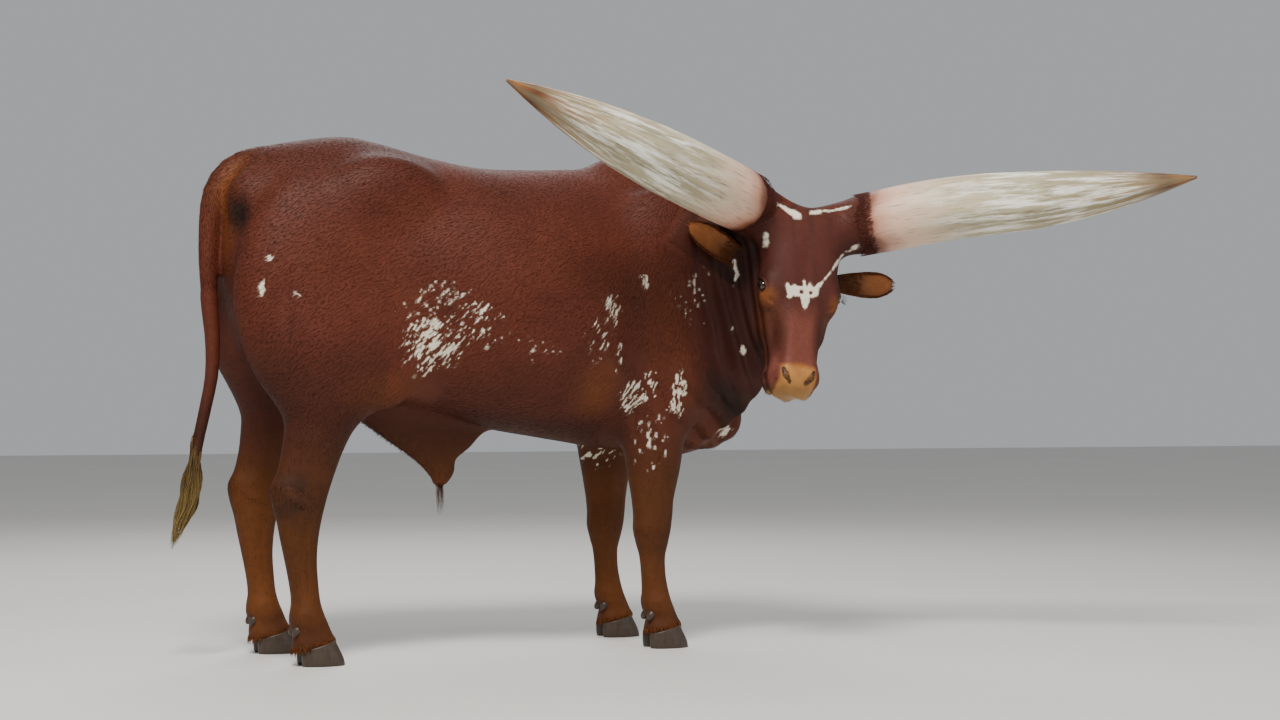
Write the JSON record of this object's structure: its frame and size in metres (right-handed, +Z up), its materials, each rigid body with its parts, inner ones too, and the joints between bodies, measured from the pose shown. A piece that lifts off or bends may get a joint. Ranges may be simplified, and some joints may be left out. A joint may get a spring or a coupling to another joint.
{
  "type": "ankole-watusi cattle",
  "caption": "Life-size Ankole-Watusi steer standing square with its head turned to its right, dark red coat with white flecks and long thick horns",
  "frame": {"origin": "on the floor under the middle of the animal's bounding box", "axes": "+X along the trunk toward the shoulders, +Y to the animal's left, +Z up"},
  "size_m": [2.6996, 1.4008, 1.5676],
  "materials": {
    "coat": "short sleek dark red-brown hair with white flecks over skin",
    "horn": "weathered horn, pale and flaking with dark tips",
    "claw": "dull dark hoof horn",
    "eye": "wet, dark brown eye",
    "switch_hair": "long wavy hair, dark brown to straw"
  },
  "bodies": {
    "root": {"claw_foreleg_left_inner": "claw", "claw_foreleg_left_outer": "claw", "claw_foreleg_right_inner": "claw", "claw_foreleg_right_outer": "claw", "claw_hindleg_left_inner": "claw", "claw_hindleg_left_outer": "claw", "claw_hindleg_right_inner": "claw", "claw_hindleg_right_outer": "claw", "dewclaw_foreleg_left_inner": "claw", "dewclaw_foreleg_left_outer": "claw", "dewclaw_foreleg_right_inner": "claw", "dewclaw_foreleg_right_outer": "claw", "dewclaw_hindleg_left_inner": "claw", "dewclaw_hindleg_left_outer": "claw", "dewclaw_hindleg_right_inner": "claw", "dewclaw_hindleg_right_outer": "claw", "ear_left": "coat", "ear_right": "coat", "eye_left": "eye", "eye_right": "eye", "head": "coat", "horn_left": "horn", "horn_right": "horn", "lower_foreleg_left": "coat", "lower_foreleg_right": "coat", "lower_hindleg_left": "coat", "lower_hindleg_right": "coat", "neck": "coat", "sheath": "coat", "tail": "coat", "tail_switch": "switch_hair", "trunk": "coat", "upper_foreleg_left": "coat", "upper_foreleg_right": "coat", "upper_hindleg_left": "coat", "upper_hindleg_right": "coat"}
  },
  "joints": []
}
